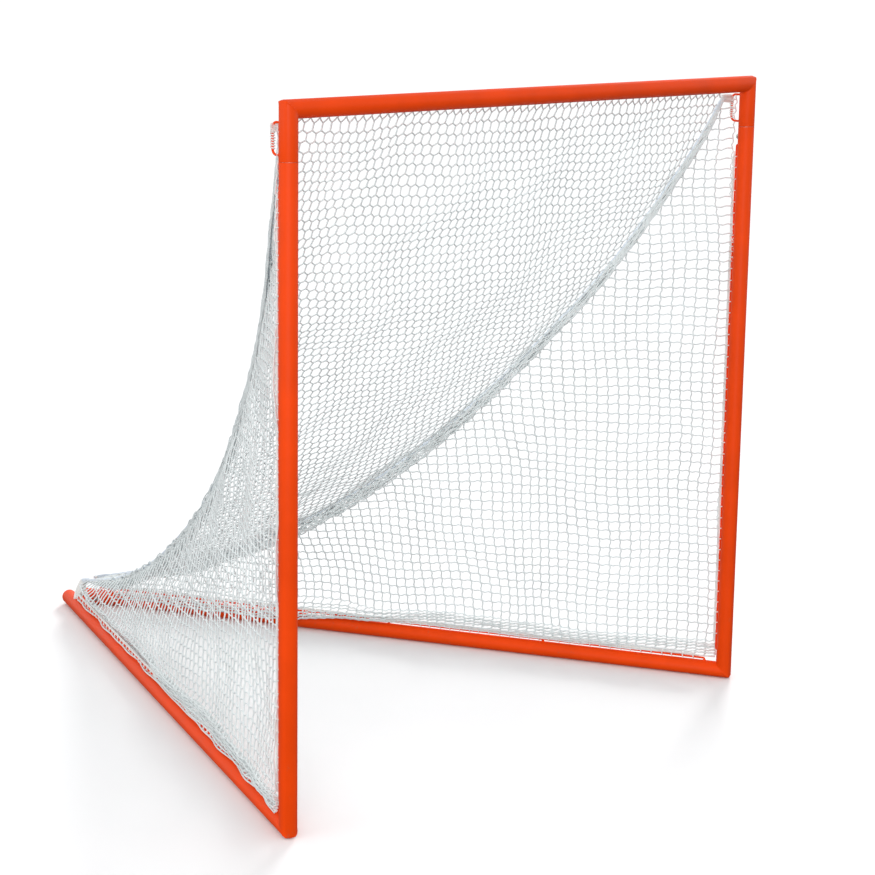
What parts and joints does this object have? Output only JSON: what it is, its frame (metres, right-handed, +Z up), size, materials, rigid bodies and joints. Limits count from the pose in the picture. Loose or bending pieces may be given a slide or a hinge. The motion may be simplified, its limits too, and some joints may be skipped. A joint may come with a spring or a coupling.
{
  "type": "lacrosse goal",
  "caption": "Free-standing field goal: square tubular steel mouth on a V-shaped ground frame, with a net laced to rods along the tubes and drawn back to the rear point.",
  "frame": {"origin": "on the ground, in the middle of the goal's footprint, halfway between the front of the posts and the rear ends of the base rails", "axes": "+Z up; the mouth faces -Y and the base runs back to its point at +Y; +X is to the right for someone looking into the mouth"},
  "size_m": [1.9256, 2.1172, 1.8771],
  "materials": {
    "painted_tube": "orange powder coat on round steel tube, semi-gloss",
    "painted_rod": "orange powder coat on round steel rod, semi-gloss",
    "zinc": "zinc-plated steel fasteners, satin",
    "net": "white braided polyester netting",
    "rope": "white braided rope with the gathered edges of two net panels",
    "lace": "white braided lacing cord",
    "plug": "black moulded polyethylene end plug"
  },
  "bodies": {
    "root": {"base_lace_left": "lace", "base_lace_right": "lace", "base_peg_left_1": "painted_rod", "base_peg_left_2": "painted_rod", "base_peg_left_3": "painted_rod", "base_peg_right_1": "painted_rod", "base_peg_right_2": "painted_rod", "base_peg_right_3": "painted_rod", "base_rail_left": "painted_tube", "base_rail_right": "painted_tube", "base_rod_left": "painted_rod", "base_rod_right": "painted_rod", "corner_bolt_left": "zinc", "corner_bolt_right": "zinc", "corner_leg_left": "painted_tube", "corner_leg_right": "painted_tube", "corner_loop_left": "painted_rod", "corner_loop_right": "painted_rod", "corner_nut_left": "zinc", "corner_nut_right": "zinc", "corner_washer_left": "zinc", "corner_washer_right": "zinc", "crossbar": "painted_tube", "crossbar_lace": "lace", "crossbar_peg_1": "painted_rod", "crossbar_peg_2": "painted_rod", "crossbar_peg_3": "painted_rod", "crossbar_rod": "painted_rod", "net_back": "net", "net_left": "net", "net_right": "net", "post_lace_left": "lace", "post_lace_right": "lace", "post_left": "painted_tube", "post_peg_left_1": "painted_rod", "post_peg_left_2": "painted_rod", "post_peg_right_1": "painted_rod", "post_peg_right_2": "painted_rod", "post_right": "painted_tube", "post_rod_left": "painted_rod", "post_rod_right": "painted_rod", "post_sleeve_left": "painted_tube", "post_sleeve_right": "painted_tube", "rail_plug_left": "plug", "rail_plug_right": "plug", "rear_bolt_left": "zinc", "rear_bolt_right": "zinc", "rear_nut_left": "zinc", "rear_nut_right": "zinc", "rear_strap": "painted_tube", "rear_washer_left": "zinc", "rear_washer_right": "zinc", "ridge_rope_left": "rope", "ridge_rope_right": "rope"}
  },
  "joints": []
}
